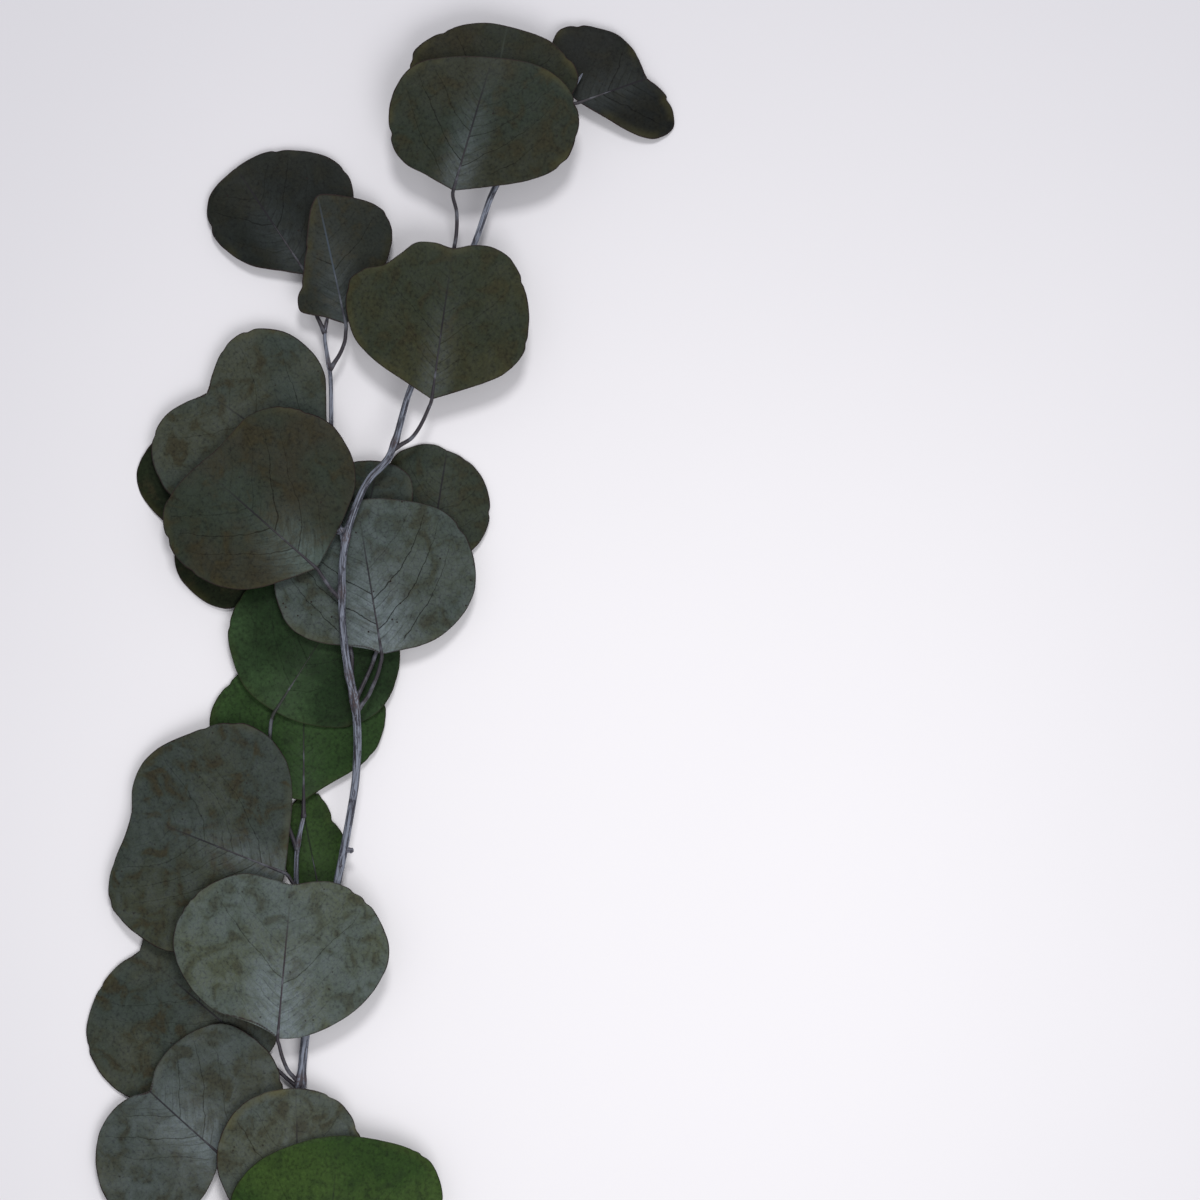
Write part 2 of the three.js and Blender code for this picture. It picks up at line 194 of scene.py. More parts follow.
# Stalks and bark
STALK_STREAK_SCALE = 240.0
STALK_STREAK_FADE = (0.48, 0.7, 0.0, 0.6)
STALK_TO_MIDRIB_FADE = (0.15, 0.75)
STALK_FINE_SCALE = 1400.0
STALK_SPECK_FADE = (0.55, 0.75, 0.0, 0.35)
STALK_SPECK_TONE = (0.02, 0.014, 0.016)
BARK_RUN = 60.0
BARK_CLOSE_RUN = 420.0
BARK_STREAK_SCALE = 2.6
BARK_PATCH_SCALE = 0.8
BARK_GRAIN_SCALE = 3.0
BARK_STREAK_FADE = (0.4, 0.6)
BARK_PATCH_FADE = (0.56, 0.68, 0.0, 0.8)
BARK_GLINT_FADE = (0.56, 0.7, 0.0, 0.5)
BARK_SCAR_FADE = (0.35, 0.6, 0.0, 0.8)
BARK_ROUGHNESS_FADE = (0.4, 0.7, 0.5, 0.75)
# The pale bark colour is partly silvery wax and partly a painted sheen, and the glint colour is a painted
# highlight.
BARK_DARK = (0.028, 0.028, 0.038)
BARK_PALE_WAX_AND_SHEEN = (0.19, 0.21, 0.265)
BARK_PATCH = (0.022, 0.018, 0.024)
BARK_GLINT = (0.27, 0.28, 0.34)
BARK_SCAR = (0.05, 0.03, 0.03)

STEMS = ("main_stem", "upper_twig", "lower_twig")
BUDS = ("bud_upper", "bud_lower")
LEAVES = sorted(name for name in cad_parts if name.startswith("leaf_"))


# ---------------------------------------------------------------- reading the CAD meshes

def welded(node):
    """A CAD node's mesh with its shared corners joined."""
    shape = bmesh.new()
    shape.from_mesh(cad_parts[node].data)
    bmesh.ops.remove_doubles(shape, verts=shape.verts, dist=WELD)
    shape.normal_update()
    return shape


def flat_patch(start):
    """The faces that touch one face and lie in its plane."""
    patch = {start}
    todo = [start]
    while todo:
        for edge in todo.pop().edges:
            for near in edge.link_faces:
                if near not in patch and near.normal.dot(start.normal) > FLAT_COSINE:
                    patch.add(near)
                    todo.append(near)
    return patch


def spread(ring):
    """Mean distance of a ring's points from their middle."""
    points = np.array([vert.co for vert in ring])
    return np.linalg.norm(points - points.mean(0), axis=1).mean()


def flat_end(shape, sides):
    """The middle point of the widest flat end of a tube."""
    ends = []
    for vert in shape.verts:
        if len(vert.link_faces) == sides and len(flat_patch(vert.link_faces[0])) == sides:
            ends.append(vert)
    return max(ends, key=lambda vert: spread([edge.other_vert(vert) for edge in vert.link_edges]))


def rings_from(pole):
    """Rings of points from one closed end of a tube to the other, each in order round the tube."""
    layer = [edge.other_vert(pole) for edge in pole.link_edges]
    seen = {pole, *layer}
    rings = []
    while len(layer) > 1:
        members = set(layer)
        walk = [layer[0]]
        while len(walk) < len(layer):
            walk.append(next(near for near in neighbours(walk[-1])
                             if near in members and near not in walk))
        rings.append(np.array([vert.co for vert in walk], float))
        layer = [near for near in {n for vert in walk for n in neighbours(vert)} if near not in seen]
        seen.update(layer)
    return rings, np.array(layer[0].co, float)


def neighbours(vert):
    """The points joined to a point by an edge."""
    return [edge.other_vert(vert) for edge in vert.link_edges]


def leaf_parts(node):
    """A leaf's stalk centres and radii, its blade's five lines from base to tip, and its tip."""
    shape = welded(node)
    rings, tip = rings_from(flat_end(shape, LEAF_SIDES))
    shape.free()
    stalk = np.array([ring.mean(0) for ring in rings[:STALK_RINGS]])
    radii = np.array([np.linalg.norm(ring - ring.mean(0), axis=1).mean() for ring in rings[:STALK_RINGS]])
    side = np.cross(tip - stalk[-1], (0, 0, 1))
    half = LEAF_SIDES // 2
    rows = []
    for ring in rings[STALK_RINGS:]:
        widths = np.linalg.norm(ring[:half] - ring[half:], axis=1)
        right = int(np.argmax(widths))
        if (ring[right] - ring[(right + half) % LEAF_SIDES]) @ side < 0:
            right += half
        turned = np.roll(ring, -right, axis=0)
        rows.append([(turned[i] + turned[-i]) / 2 for i in range(half + 1)])
    return stalk, radii, np.array(rows), tip


# ---------------------------------------------------------------- smooth lines

def smooth(points, knots, at):
    """Values at some places on the smooth curve through points that stand at the knots."""
    points = np.asarray(points, float)
    slopes = np.gradient(points, knots, axis=0, edge_order=2)
    index = np.clip(np.searchsorted(knots, at, side="right") - 1, 0, len(knots) - 2)
    gap = (knots[index + 1] - knots[index])[:, None]
    t = ((at - knots[index]) / gap[:, 0])[:, None]
    flat = points.reshape(len(knots), -1)
    steep = slopes.reshape(len(knots), -1)
    made = ((2 * t ** 3 - 3 * t ** 2 + 1) * flat[index] + (t ** 3 - 2 * t ** 2 + t) * gap * steep[index]
            + (3 * t ** 2 - 2 * t ** 3) * flat[index + 1] + (t ** 3 - t ** 2) * gap * steep[index + 1])
    return made.reshape((len(at),) + points.shape[1:])


def lengths(points):
    """Length along a line of points up to each of them."""
    steps = np.linalg.norm(np.diff(points, axis=0), axis=1)
    return np.concatenate([[0], np.cumsum(steps)])


def evenly(points, step):
    """A smooth line through points, in even steps, with the share of its length at each point."""
    knots = lengths(points)
    count = max(FEWEST_STEPS, int(round(knots[-1] / step)))
    at = np.linspace(0, knots[-1], count + 1)
    return smooth(points, knots, at), at / knots[-1]


def unit(vectors):
    """Vectors of length one in the same directions."""
    return vectors / np.maximum(np.linalg.norm(vectors, axis=-1, keepdims=True), TINY)


def ease(value, low, high):
    """0 below low, 1 above high, smooth between."""
    share = np.clip((value - low) / (high - low), 0, 1)
    return share * share * (3 - 2 * share)


def rough(points, length, seed):
    """Smooth noise from about -1 to 1 at each point, with bumps of a given length."""
    shift = Vector([seed * step for step in SEED_STEP])
    return np.array([noise.noise(Vector(point) / length + shift) for point in points])


# ---------------------------------------------------------------- meshes

def new_piece(name, points, faces, materials, face_materials=None):
    """A smooth-shaded mesh in the scene. face_materials holds the number of each face's material."""
    mesh = bpy.data.meshes.new(name)
    mesh.from_pydata([tuple(point) for point in points], [], faces)
    for material in materials:
        mesh.materials.append(material)
    mesh.polygons.foreach_set("use_smooth", [True] * len(faces))
    if face_materials is not None:
        mesh.polygons.foreach_set("material_index", face_materials)
    mesh.update()
    piece = bpy.data.objects.new(name, mesh)
    bpy.context.scene.collection.objects.link(piece)
    return piece


def point_values(piece, name, values):
    """Stores one number for each point, for the materials to read."""
    values = np.asarray(values, np.float32)
    attribute = piece.data.attributes.new(name, "FLOAT", "POINT")
    attribute.data.foreach_set("value", values)


def tube_frames(line):
    """For each point of a line: two directions square to the line and to each other, without twist."""
    along = unit(np.gradient(line, axis=0))
    first = np.cross(along[0], (0.0, 0.0, 1.0))
    if np.linalg.norm(first) < 0.1:
        first = np.cross(along[0], (0.0, 1.0, 0.0))
    across = [first]
    for direction in along[1:]:
        across.append(across[-1] - (across[-1] @ direction) * direction)
    across = unit(np.array(across))
    return across, np.cross(across, along)


def tube(line, radii, sides):
    """Points and faces of a closed tube. radii holds one radius for each side of each ring."""
    across, over = tube_frames(line)
    angles = np.linspace(0, 2 * math.pi, sides, endpoint=False)
    ring = np.cos(angles)[:, None] * across[:, None] + np.sin(angles)[:, None] * over[:, None]
    points = (line[:, None] + ring * radii[..., None]).reshape(-1, 3)
    points = np.vstack([points, line[0], line[-1]])
    last = len(line) - 1
    faces = []
    for k in range(sides):
        n = (k + 1) % sides
        faces.append((len(points) - 2, k, n))
        faces.append((len(points) - 1, last * sides + n, last * sides + k))
        faces += [(r * sides + k, (r + 1) * sides + k, (r + 1) * sides + n, r * sides + n)
                  for r in range(last)]
    return points, faces


def ride_along(piece, node):
    """Ties a piece to the branch's body, in place of its CAD node."""
    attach(piece, "root")
    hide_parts(node)


# ---------------------------------------------------------------- stems

def stem_line(node, parent=None):
    """A stem's centre points and radii, from its thicker end, or from the end nearer to its parent."""
    shape = welded(node)
    rings, _ = rings_from(flat_end(shape, STEM_SIDES))
    shape.free()
    centres = np.array([ring.mean(0) for ring in rings])
    radii = np.array([np.linalg.norm(ring - ring.mean(0), axis=1).mean() for ring in rings])
    if parent is not None:
        gaps = [np.linalg.norm(parent[0] - end, axis=1).min() for end in (centres[0], centres[-1])]
        if gaps[1] < gaps[0]:
            return centres[::-1], radii[::-1]
    return centres, radii


STEM_LINES = {"main_stem": stem_line("main_stem")}
for twig in STEMS[1:]:
    STEM_LINES[twig] = stem_line(twig, STEM_LINES["main_stem"])


def nearest_on_stems(point, names=STEMS):
    """The nearest point on the centre line of some stems, and the name of its stem."""
    found = []
    for name in names:
        line, _ = evenly(STEM_LINES[name][0], BARK_STEP)
        gaps = np.linalg.norm(line - point, axis=1)
        found.append((gaps.min(), name, line[int(gaps.argmin())]))
    _, name, place = min(found, key=lambda row: row[0])
    return place, name


def rooted(line, names):
    """A stalk's or twig's line, led on in its own direction into the nearest of some stems."""
    aim = line[0] + unit(line[0] - line[2]) * ROOT_LEAD
    place, _ = nearest_on_stems(aim, names)
    return np.vstack([place, (place + line[1]) / 2, line[1:]])


def knot_places(stem):
    """Where stalks and twigs leave a stem."""
    places = []
    for name in LEAVES:
        place, parent = nearest_on_stems(LEAF_PARTS[name][0][0])
        if parent == stem:
            places.append(place)
    if stem == "main_stem":
        places += [nearest_on_stems(STEM_LINES[twig][0][0], [stem])[0] for twig in STEMS[1:]]
    return places


def bark_values(piece, along, angles, rings, knot):
    """Stores for the bark: the length along it, the direction round it and the nearness of a knot."""
    around = np.tile(angles, rings)
    point_values(piece, "along", along)
    point_values(piece, "side_x", np.concatenate([np.cos(around), [0, 0]]))
    point_values(piece, "side_y", np.concatenate([np.sin(around), [0, 0]]))
    point_values(piece, "knot", knot)


def make_stem(name, material):
    """A stem or twig: bark relief, knots where stalks leave it, and a domed growing tip."""
    centres, radii = STEM_LINES[name]
    if name != "main_stem":
        centres = rooted(centres, [stem for stem in STEMS if stem != name])
        radii = np.concatenate([[radii[0] * (1 + SOCKET_FLARE)], radii])
    line, shares = evenly(centres, BARK_STEP)
    knots = lengths(centres)
    size = np.interp(shares, knots / knots[-1], radii)
    swell = np.ones(len(line))
    for place in knot_places(name):
        swell += KNOT_SWELL * np.exp(-(np.linalg.norm(line - place, axis=1) / KNOT_LENGTH) ** 2)
    dome = np.ones(len(line))
    for ring in range(TIP_DOME_RINGS):
        dome[-1 - ring] = math.sqrt(1 - (1 - (ring + TIP_DOME_START) / TIP_DOME_RINGS) ** 2)
    angles = np.linspace(0, 2 * math.pi, BARK_SIDES, endpoint=False)
    run = lengths(line)
    relief = np.array([[bark_height(angle, place, len(name)) for angle in angles] for place in run])
    table = (STEM_SHARE * size * swell * dome)[:, None] * (1 + BARK_RELIEF * relief)
    points, faces = tube(line, table, BARK_SIDES)
    points[:, 2] = np.maximum(points[:, 2], 0)
    piece = new_piece(name + "_bark", points, faces, [material])
    along = np.concatenate([np.repeat(run, BARK_SIDES), [0, run[-1]]])
    knot = np.concatenate([np.repeat((swell - 1) / KNOT_SWELL, BARK_SIDES), [0, 0]])
    bark_values(piece, along, angles, len(line), np.clip(knot, 0, 1))
    ride_along(piece, name)


def bark_height(angle, run, seed):
    """Relief of the bark at an angle round the stem and a length along it."""
    round_it = (math.cos(angle) * BARK_ROUND, math.sin(angle) * BARK_ROUND)
    return noise.noise(Vector((*round_it, run / BARK_LENGTH + seed)))


# ---------------------------------------------------------------- leaves

def rung_columns():
    """Places across a blade, from -1 at one margin to 1 at the other, closer together at the rims."""
    inner = np.linspace(-INNER_REACH, INNER_REACH, INNER_COLUMNS)
    rim = np.array(RIM_COLUMNS)
    return np.concatenate([[-1], -rim[::-1], inner, rim, [1]])


def margin_shift(points, outward, seed):
    """Moves a margin's points in or out, in long waves, small teeth and a few nicks."""
    run = lengths(points)
    ends = ease(run, 0, CALM_ENDS) * ease(run[-1] - run, 0, CALM_ENDS)
    shift = MARGIN_WAVE * rough(points, MARGIN_WAVE_LENGTH, seed)
    shift += MARGIN_TOOTH * rough(points, MARGIN_TOOTH_LENGTH, seed + 1)
    draw = np.random.default_rng(seed * NICK_SEED_STEP)
    for place in draw.uniform(*NICK_SPAN, NICKS) * run[-1]:
        depth = NICK_DEPTH * draw.uniform(LEAST_NICK, 1)
        shift -= depth * np.exp(-((run - place) / NICK_WIDTH) ** 2)
    return points + outward * (shift * ends)[:, None]


def blade_surface(node, seed):
    """A leaf's middle surface: rows from base to tip, columns from its left margin to its right."""
    stalk, _, rungs, tip = LEAF_PARTS[node]
    base = stalk[-1]
    count = len(rungs)
    outline = np.vstack([[base], rungs[:, 4], [tip], rungs[::-1, 0], [base]])
    run = lengths(outline)
    rows = np.arange((count + 1) * ROWS_PER_RUNG + 1) / ROWS_PER_RUNG
    numbers = np.arange(count + 2)
    left = smooth(outline, run, np.interp(rows, numbers, run[:count + 2]))
    right = smooth(outline, run, np.interp(rows, numbers, run[:count:-1]))
    lines = np.concatenate([[[base] * 3], rungs[:, 1:-1], [[tip] * 3]])
    knots = lengths(lines[:, 1])
    inner = smooth(lines, knots, np.interp(rows, numbers, knots))
    middle = inner[:, 1]
    left = margin_shift(left, unit(left - middle), seed)
    right = margin_shift(right, unit(right - middle), seed + 3)
    columns = rung_columns()
    across = np.stack([left, inner[:, 2], middle, inner[:, 0], right], axis=0)
    grid = smooth(across, np.linspace(-1, 1, 5), columns)
    return np.swapaxes(grid, 0, 1), columns


def surface_normals(grid):
    """The upward direction square to the surface at each point, straight up where the surface is a point."""
    down = np.gradient(grid, axis=0)
    over = np.gradient(grid, axis=1)
    normal = np.cross(over, down)
    weak = np.linalg.norm(normal, axis=-1) < TINY
    normal[weak] = (0, 0, 1)
    normal = unit(normal)
    normal[normal[..., 2] < 0] *= -1
    return normal


def leaf_places(grid, base, tip):
    """For each point: the length along the midrib, the distance across it, and that to the margin."""
    axis = unit((tip - base) * (1, 1, 0))
    side = np.cross(axis, (0.0, 0.0, 1.0))
    along = (grid - base) @ axis
    across = (grid - base) @ side
    rim = np.vstack([grid[:, 0], grid[::-1, -1]])[:, :2]
    flat = grid[..., :2].reshape(-1, 2)
    gaps = np.sqrt(((flat[:, None] - rim[None]) ** 2).sum(-1)).min(1)
    return along, across, gaps.reshape(along.shape)


def vein_count(along, across):
    """Half at the leaf's base, and one more at each side vein. The veins lean and curve to the tip."""
    width = np.abs(across)
    return (along - width * VEIN_LEAN - width ** 2 * VEIN_CURVE) / VEIN_SPACING + 0.5


def waved(grid, columns, places, seed):
    """The surface with its slow swells, its ripples near the margin and its pucker between the veins."""
    along, across, edge, phase = places
    flat = grid.reshape(-1, 3)
    wave = SWELL * rough(flat, SWELL_LENGTH, seed).reshape(along.shape)
    near_rim = (columns ** 4)[None]
    wave += RIPPLE * rough(flat, RIPPLE_LENGTH, seed + 5).reshape(along.shape) * near_rim
    inside = ease(edge, 0, 3 * MM) * ease(np.abs(across), 0.5 * MM, 3 * MM)
    wave += PUCKER * np.cos(2 * math.pi * phase) * inside
    quiet = ease(along, 0, CALM_BASE)
    return grid + surface_normals(grid) * (wave * quiet)[..., None]


def half_thickness(grid, edge):
    """From the middle surface to the upper face, at each point. It is none at the two side margins."""
    bulge = RIM_THICKNESS + (BLADE_THICKNESS - RIM_THICKNESS) * ease(edge, 0, 1.5 * MM)
    half = surface_normals(grid) * (bulge / 2)[..., None]
    half[:, 0] = 0
    half[:, -1] = 0
    return half


def blade_faces(rows, columns):
    """Faces of a blade, and for each its side of the midrib and whether it is on the underside.

    The points are the rows of the upper face without the base and the tip, then those of the underside,
    then the base and the tip. The two faces share the points of the side margins.
    """
    count = rows * columns
    base, tip = 2 * count, 2 * count + 1
    middle = (columns - 1) // 2
    faces = []
    sides = []

    def at(row, column, below):
        shared = column in (0, columns - 1)
        return row * columns + column + (count if below and not shared else 0)

    for below in (False, True):
        for column in range(columns - 1):
            strip = [(at(row, column, below), at(row, column + 1, below),
                      at(row + 1, column + 1, below), at(row + 1, column, below)) for row in range(rows - 1)]
            strip.append((base, at(0, column + 1, below), at(0, column, below)))
            strip.append((tip, at(rows - 1, column, below), at(rows - 1, column + 1, below)))
            faces += [face[::-1] for face in strip] if below else strip
            sides += [(column >= middle, below)] * len(strip)
    return faces, sides


def without_spares(points, faces):
    """Drops the points that no face uses. Returns the faces' new corners and which points were kept."""
    used = np.zeros(len(points), bool)
    used[[corner for face in faces for corner in face]] = True
    number = np.cumsum(used) - 1
    return [tuple(int(number[corner]) for corner in face) for face in faces], used


def leaf_values(piece, sides, places, stalk_reach):
    """Stores what the leaf's materials read: its own coordinates, its rim and its veins."""
    along, across, edge, phase = places
    point_values(piece, "edge", edge)
    point_values(piece, "rib", np.abs(across))
    point_values(piece, "reach", along)
    point_values(piece, "stalk_reach", stalk_reach)
    corner_values(piece, sides, along, across, phase)


def make_leaf(name, blade, rib, seed):
    """A leaf: a thin two-sided blade, with its stalk and midrib as a second closed shell."""
    stalk, radii, _, tip = LEAF_PARTS[name]
    grid, columns = blade_surface(name, seed)
    along, across, edge = leaf_places(grid, stalk[-1], tip)
    places = (along, across, edge, vein_count(along, across))
    grid = waved(grid, columns, places, seed)
    half = half_thickness(grid, edge)
    inner = slice(1, -1)
    blade_points = np.vstack([(grid + half)[inner].reshape(-1, 3), (grid - half)[inner].reshape(-1, 3),
                              grid[0, 0], grid[-1, 0]])
    faces, sides = blade_faces(len(grid) - 2, len(columns))
    line, ring_radii = rib_line(grid, stalk, radii)
    tube_points, tube_faces = tube(line, np.repeat(ring_radii[:, None], TUBE_SIDES, 1), TUBE_SIDES)
    slots = [0] * len(faces) + [1] * len(tube_faces)
    faces += [tuple(corner + len(blade_points) for corner in face) for face in tube_faces]
    points = np.vstack([blade_points, tube_points])
    faces, used = without_spares(points, faces)
    piece = new_piece(name + "_blade", points[used], faces, [blade, rib], slots)

    def on_points(value):
        on_blade = np.concatenate([np.tile(value[inner].ravel(), 2), [value[0, 0], value[-1, 0]]])
        return np.concatenate([on_blade, np.zeros(len(tube_points))])[used]

    tube_reach = np.repeat(np.linspace(0, 1, len(line)), TUBE_SIDES)
    stalk_reach = np.concatenate([np.zeros(len(blade_points)), tube_reach, [0, 1]])[used]
    leaf_values(piece, sides, [on_points(value) for value in places], stalk_reach)
    ride_along(piece, name)


def corner_values(piece, sides, along, across, phase):
    """Gives each face's corners the leaf's own coordinates and the vein count of its own side."""
    piece.data.uv_layers.new(name="leaf")
    piece.data.attributes.new("vein", "FLOAT_VECTOR", "CORNER")
    faces = piece.data.polygons
    tube_sides = [(True, False)] * (len(faces) - len(sides))
    places = []
    counts = []
    for face, (right, below) in zip(faces, sides + tube_sides):
        shift = VEIN_STAGGER if right else 0.0
        for corner in face.vertices:
            places += [along[corner], across[corner]]
            counts += [phase[corner] + shift, 1.0 if below else 0.0, 0.0]
    piece.data.uv_layers["leaf"].data.foreach_set("uv", places)
    piece.data.attributes["vein"].data.foreach_set("vector", counts)


def rib_line(grid, stalk, radii):
    """The line of a stalk and its midrib, from inside the stem to near the leaf's tip, with its radii."""
    middle = grid[:, (grid.shape[1] - 1) // 2]
    rib = middle[MIDRIB_FIRST_ROW:int(len(middle) * MIDRIB_REACH):MIDRIB_ROW_STEP]
    route = np.vstack([rooted(stalk, STEMS), rib])
    line, shares = evenly(route, TUBE_STEP)
    run = lengths(route)
    stalk_end = run[len(stalk)] / run[-1]
    stalk_radius = radii.mean() * STALK_SHARE
    size = np.interp(shares, [0, stalk_end, 1], [stalk_radius, MIDRIB_START, MIDRIB_END])
    socket = 1 + SOCKET_FLARE * np.exp(-(shares * run[-1] / SOCKET_LENGTH) ** 2)
    sink = MIDRIB_SINK * size * ease(shares, stalk_end, min(1, stalk_end + SINK_RUN))
    return line - np.outer(sink, (0, 0, 1)), size * socket


# ---------------------------------------------------------------- buds

def bud_axis(name):
    """A CAD bud's blunt end, its axis from there to its point, and its widest radius."""
    shape = welded(name)
    ends = [vert for vert in shape.verts if len(vert.link_edges) == BUD_POLE_EDGES]
    ends.sort(key=lambda vert: np.mean([edge.calc_length() for edge in vert.link_edges]))
    start, tip = (np.array(vert.co, float) for vert in (ends[0], ends[-1]))
    cloud = np.array([vert.co for vert in shape.verts], float)
    shape.free()
    axis = tip - start
    return start, axis, np.linalg.norm(np.cross(cloud - start, unit(axis)), axis=1).max()


def make_bud(name, material):
    """A small bud of two scales with a seam between them, on a neck from the stem."""
    start, axis, size = bud_axis(name)
    place, _ = nearest_on_stems(start)
    neck = np.linspace(place, start, NECK_RINGS + 1)[:-1]
    steps = np.linspace(0, 1, BUD_RINGS)
    line = np.vstack([neck, start + np.outer(steps * BUD_SHARE, axis)])
    profile = np.sin(math.pi * np.clip(steps, *BUD_SPAN) ** BUD_LEAN) ** BUD_FULLNESS
    neck_profile = np.linspace(1.0, profile[0], NECK_RINGS + 1)[:-1]
    profile = np.concatenate([neck_profile, profile])
    steps = np.concatenate([np.zeros(NECK_RINGS), steps])
    angles = np.linspace(0, 2 * math.pi, BUD_SIDES, endpoint=False)
    seam = np.exp(-(np.sin(angles)[None] / SEAM_WIDTH) ** 2) * ease(steps, 0.15, 0.4)[:, None]
    points, faces = tube(line, size * profile[:, None] * (1 - SEAM_DEPTH * seam), BUD_SIDES)
    piece = new_piece(name + "_scales", points, faces, [material])
    along = np.concatenate([np.repeat(steps, BUD_SIDES), [0, 1]]) * BUD_BARK_RUN
    bark_values(piece, along, angles, len(steps), np.full(len(points), BUD_SCAR))
    ride_along(piece, name)


# ---------------------------------------------------------------- materials

class Paint:
    """A material's node tree, with short calls for the nodes that the materials share."""

    def __init__(self, name, roughness, specular):
        self.material = bpy.data.materials.new(name)
        self.material.use_nodes = True
        self.tree = self.material.node_tree
        self.shader = self.tree.nodes["Principled BSDF"]
        self.shader.inputs["Roughness"].default_value = roughness
        self.shader.inputs["Specular IOR Level"].default_value = specular

    def node(self, kind, inputs, **settings):
        """Adds a node, with values or other nodes' outputs as inputs."""
        made = self.tree.nodes.new(kind)
        for key, value in settings.items():
            setattr(made, key, value)
        for key, value in inputs.items():
            self.feed(made.inputs[key], value)
        return made

    def feed(self, socket, value):
        if isinstance(value, bpy.types.NodeSocket):
            self.tree.links.new(value, socket)
        elif isinstance(value, tuple) and len(value) == 3 and socket.type == "RGBA":
            socket.default_value = (*value, 1)
        else:
            socket.default_value = value

    def math(self, operation, *values):
        return self.node("ShaderNodeMath", dict(enumerate(values)), operation=operation).outputs[0]

    def times(self, first, second):
        return self.math("MULTIPLY", first, second)

    def plus(self, first, second):
        return self.math("ADD", first, second)

    def combine(self, x=0.0, y=0.0, z=0.0):
        """A vector from three values."""
        return self.node("ShaderNodeCombineXYZ", {0: x, 1: y, 2: z}).outputs[0]

    def moved(self, place, shift):
        return self.node("ShaderNodeVectorMath", {0: place, 1: shift}, operation="ADD").outputs[0]

    def mix(self, factor, first, second, blend="MIX"):
        inputs = {0: factor, 6: first, 7: second}
        return self.node("ShaderNodeMix", inputs, data_type="RGBA", blend_type=blend).outputs[2]

    def step(self, value, low, high, start=0.0, end=1.0):
        """Goes smoothly from start to end as the value goes from low to high."""
        inputs = {"Value": value, "From Min": low, "From Max": high, "To Min": start, "To Max": end}
        return self.node("ShaderNodeMapRange", inputs, interpolation_type="SMOOTHSTEP").outputs[0]

    def value(self, name):
        """One of the mesh's own numbers."""
        return self.node("ShaderNodeAttribute", {}, attribute_name=name).outputs["Fac"]

    def vector(self, name):
        """One of the mesh's own vectors."""
        return self.node("ShaderNodeAttribute", {}, attribute_name=name).outputs["Vector"]

    def noise(self, vector, scale, detail=3.0, distortion=0.0):
        inputs = {"Vector": vector, "Scale": scale, "Detail": detail, "Distortion": distortion}
        return self.node("ShaderNodeTexNoise", inputs).outputs["Fac"]

    def cells(self, vector, scale, feature):
        inputs = {"Vector": vector, "Scale": scale}
        return self.node("ShaderNodeTexVoronoi", inputs, feature=feature).outputs["Distance"]

    def bump(self, height, strength, distance):
        """Raises and lowers the shading by a height."""
        inputs = {"Height": height, "Strength": strength, "Distance": distance}
        self.tree.links.new(self.node("ShaderNodeBump", inputs).outputs[0], self.shader.inputs["Normal"])

    def colour(self, value):
        self.feed(self.shader.inputs["Base Color"], value)

    def roughness(self, value):
        self.feed(self.shader.inputs["Roughness"], value)


def vein_lines(paint, place, count, rib, edge, seed):
    """Thin wandering side veins: some strong, some faint, with finer ones between, fading to the margin."""
    slow = paint.times(paint.math("SUBTRACT", paint.noise(place, WANDER_SCALE, 2.0), 0.5), WANDER)
    quick = paint.times(paint.math("SUBTRACT", paint.noise(place, KINK_SCALE, 2.0), 0.5), KINK)
    grow = paint.step(rib, *WANDER_GROWTH)
    count = paint.plus(count, paint.times(paint.plus(slow, quick), grow))
    lines = []
    for share, thin, thick in VEIN_KINDS:
        place_in = paint.times(count, share)
        off = paint.math("ABSOLUTE", paint.math("SUBTRACT", paint.math("FRACT", place_in), 0.5))
        line = paint.step(off, thin, thick, 1.0, 0.0)
        draw = paint.plus(paint.math("FLOOR", place_in), seed * VEIN_SEED_STEP)
        number = paint.node("ShaderNodeTexWhiteNoise", {"W": draw}, noise_dimensions="1D").outputs["Value"]
        lines.append(paint.times(line, paint.step(number, *VEIN_STRENGTH)))
    fine = paint.times(lines[1], paint.step(rib, *FINE_VEIN_FADE))
    fade = paint.times(paint.step(edge, *VEIN_MARGIN_FADE), paint.step(rib, *VEIN_SIDE_FADE))
    fade = paint.times(fade, paint.step(count, *VEIN_BASE_FADE))
    fade = paint.times(fade, paint.step(count, *VEIN_TIP_FADE))
    return paint.times(paint.math("MAXIMUM", lines[0], fine), fade)


def bloom_share(paint, look, veins, patchy, fine, rib, reach, vein_place):
    """How much pale wax covers the leaf: most by the midrib's base, brushed outward, less on the veins."""
    across_veins = paint.times(vein_place, BRUSH_ACROSS)
    brushed = paint.combine(across_veins, paint.times(rib, BRUSH_ALONG))
    streaks = paint.noise(brushed, BRUSH_SCALE, 5.0, 0.4)
    by_rib = paint.step(rib, BLOOM_FULL_WIDTH, look["bloom_width"], 1.0, 0.0)
    by_base = paint.step(reach, BLOOM_FULL_REACH, look["bloom_reach"], 1.0, BLOOM_AT_TIP)
    bloom = paint.times(by_rib, by_base)
    bloom = paint.times(bloom, paint.step(streaks, *BRUSH_FADE))
    haze = paint.times(paint.step(patchy, *HAZE_FADE), look["haze"])
    bloom = paint.plus(paint.times(bloom, look["bloom"]), haze)
    bloom = paint.times(bloom, paint.step(fine, *BLOOM_GRIT_FADE))
    bloom = paint.times(bloom, paint.math("SUBTRACT", 1.0, paint.times(veins, BLOOM_OFF_VEINS)))
    return paint.math("MINIMUM", bloom, MOST_BLOOM)


